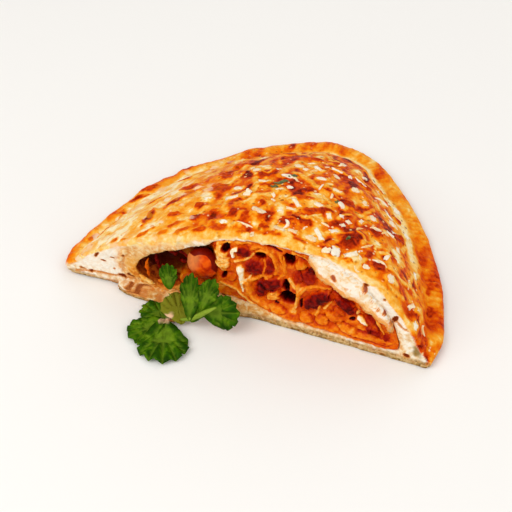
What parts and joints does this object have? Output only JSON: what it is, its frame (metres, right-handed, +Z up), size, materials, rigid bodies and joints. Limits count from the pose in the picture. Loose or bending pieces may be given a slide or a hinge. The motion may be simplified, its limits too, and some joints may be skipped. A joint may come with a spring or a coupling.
{
  "type": "pizza pocket",
  "caption": "Half of a large baked pizza pocket: a domed crust with a crimped rim, cut straight across to show its filling and cheese, with a sprig of parsley laid against the cut.",
  "frame": {"origin": "centre of the crust's flat underside, midway along the cut and midway between the cut and the back of the rim", "axes": "+X along the cut to the right end as seen when facing the cut, +Y from the cut towards the back of the rim, +Z up through the dome"},
  "size_m": [0.2003, 0.1818, 0.051],
  "materials": {
    "baked_dough": "baked dough, satin where cheese and oil have browned on it, matte and pale where it is cut",
    "meat_and_tomato_filling": "moist and glossy, dark red to orange",
    "cooked_tomato": "wet and glossy, orange red",
    "melted_cheese": "satin, cream white with orange oil",
    "parsley_leaf": "fresh leaf, satin with pale veins"
  },
  "bodies": {
    "root": {"crust": "baked_dough", "filling": "meat_and_tomato_filling", "tomato_piece": "cooked_tomato", "cheese_layer": "melted_cheese", "parsley_sprig": "parsley_leaf"}
  },
  "joints": []
}
